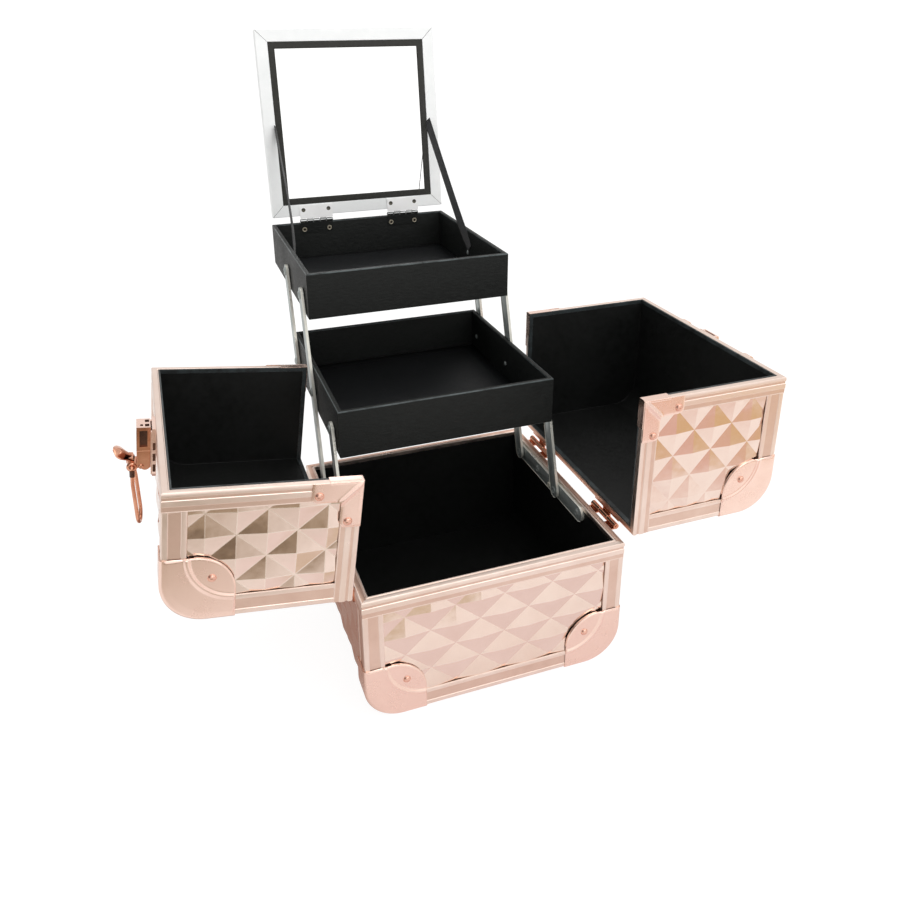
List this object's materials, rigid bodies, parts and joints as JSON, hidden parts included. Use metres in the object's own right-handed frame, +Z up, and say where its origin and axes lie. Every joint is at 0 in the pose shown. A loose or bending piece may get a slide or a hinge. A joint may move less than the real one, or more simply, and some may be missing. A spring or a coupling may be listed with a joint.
{
  "type": "makeup train case",
  "caption": "Small box-shaped vanity case with two half lids that open sideways and two cantilever trays topped by a hinged mirror.",
  "frame": {"origin": "on the floor, under the middle of the base box", "axes": "+X to the right, +Y to the rear (the side the trays swing towards), +Z up"},
  "size_m": [0.4779, 0.4003, 0.448],
  "materials": {
    "skin": "embossed rose-gold skin on board",
    "trim": "rose-gold anodised, ribbed",
    "guard": "satin rose-gold plate",
    "hardware": "polished copper plate",
    "lining": "black smooth lining",
    "tray_vinyl": "black grained vinyl on board",
    "tray_pad": "smooth black",
    "steel": "zinc plated, satin",
    "frame_rail": "silver white, satin",
    "backing": "black grained vinyl on board",
    "mirror": "silvered glass",
    "bezel": "black grained strip",
    "nickel": "nickel plate",
    "ribbon": "flat black ribbon",
    "grip": "soft black grip"
  },
  "bodies": {
    "base": {"base_wrap": "skin", "base_front_panel": "skin", "base_rear_panel": "skin", "base_lining": "lining", "base_rim": "trim", "base_trims": "trim", "base_corner_guards": "guard", "base_rivets": "guard", "tray_rails": "steel", "rail_studs": "steel", "base_hinge_leaves": "hardware", "case_hinge_pins": "hardware"},
    "lid_left": {"left_wrap": "skin", "left_front_panel": "skin", "left_rear_panel": "skin", "left_lining": "lining", "left_rim": "trim", "left_trims": "trim", "left_corner_guards": "guard", "left_brackets": "guard", "left_rivets": "guard", "left_hinge_leaves": "hardware", "latch_plate": "guard", "latch_housing": "hardware"},
    "lid_right": {"right_wrap": "skin", "right_front_panel": "skin", "right_rear_panel": "skin", "right_lining": "lining", "right_rim": "trim", "right_trims": "trim", "right_corner_guards": "guard", "right_brackets": "guard", "right_rivets": "guard", "right_hinge_leaves": "hardware", "latch_catch": "guard", "handle_brackets": "guard"},
    "latch_lever": {"latch_lever": "hardware"},
    "latch_bail": {"latch_bail": "hardware"},
    "handle": {"handle_bail": "hardware", "handle_grip": "grip"},
    "long_arms": {"long_arms": "steel"},
    "lower_arms": {"lower_arms": "steel"},
    "upper_arms": {"upper_arms": "steel"},
    "mid_tray": {"mid_tray": "tray_vinyl", "mid_tray_floor": "tray_pad", "mid_tray_pins": "steel"},
    "top_tray": {"top_tray": "tray_vinyl", "top_tray_floor": "tray_pad", "top_tray_pins": "steel", "tray_hinge_leaves": "nickel", "tray_hinge_rivets": "nickel", "mirror_hinge_pins": "nickel", "mirror_stays": "ribbon"},
    "mirror_lid": {"mirror_frame": "frame_rail", "mirror_backing": "backing", "mirror_glass": "mirror", "mirror_bezel": "bezel", "mirror_hinge_leaves": "nickel", "mirror_screws": "nickel"}
  },
  "joints": [
    {"name": "tray_fold", "type": "hinge", "parent": "base", "child": "long_arms", "pos_m": [0, 0.068, 0.094], "axis": [1, 0, 0], "range_deg": [0, 76.8]},
    {"name": "mid_tray_pivot", "type": "hinge", "parent": "long_arms", "child": "mid_tray", "pos_m": [0, 0.09236, 0.17125], "axis": [1, 0, 0], "range_deg": [-76.8, 0]},
    {"name": "top_tray_pivot", "type": "hinge", "parent": "long_arms", "child": "top_tray", "pos_m": [0, 0.11671, 0.2485], "axis": [1, 0, 0], "range_deg": [-76.8, 0]},
    {"name": "lower_arm_pivot", "type": "hinge", "parent": "base", "child": "lower_arms", "pos_m": [0, -0.002, 0.094], "axis": [1, 0, 0], "range_deg": [0, 76.8]},
    {"name": "upper_arm_pivot", "type": "hinge", "parent": "mid_tray", "child": "upper_arms", "pos_m": [0, 0.16236, 0.17125], "axis": [1, 0, 0], "range_deg": [0, 76.8]},
    {"name": "mirror_close", "type": "hinge", "parent": "top_tray", "child": "mirror_lid", "pos_m": [0, 0.26921, 0.2725], "axis": [1, 0, 0], "range_deg": [0, 98], "deforming": ["mirror_stays"]},
    {"name": "left_lid_swing", "type": "hinge", "parent": "base", "child": "lid_left", "pos_m": [-0.1042, 0, 0.1015], "axis": [0, 1, 0], "range_deg": [-12.6, 0.8]},
    {"name": "right_lid_swing", "type": "hinge", "parent": "base", "child": "lid_right", "pos_m": [0.1042, 0, 0.1015], "axis": [0, -1, 0], "range_deg": [-5, 6.5]},
    {"name": "latch_lever_turn", "type": "hinge", "parent": "lid_left", "child": "latch_lever", "pos_m": [-0.22386, 0, 0.18234], "axis": [0, -1, 0], "range_deg": [-30, 10]},
    {"name": "latch_bail_swing", "type": "hinge", "parent": "latch_lever", "child": "latch_bail", "pos_m": [-0.22971, 0, 0.1816], "axis": [0, 1, 0], "range_deg": [-8, 165]},
    {"name": "handle_swing", "type": "hinge", "parent": "lid_right", "child": "handle", "pos_m": [0.2321, 0, 0.2057], "axis": [0, -1, 0], "range_deg": [0, 105]}
  ],
  "couplings": [
    {"joint": "mid_tray_pivot", "follows": "tray_fold", "ratio": -1},
    {"joint": "top_tray_pivot", "follows": "tray_fold", "ratio": -1},
    {"joint": "lower_arm_pivot", "follows": "tray_fold", "ratio": 1},
    {"joint": "upper_arm_pivot", "follows": "tray_fold", "ratio": 1}
  ]
}
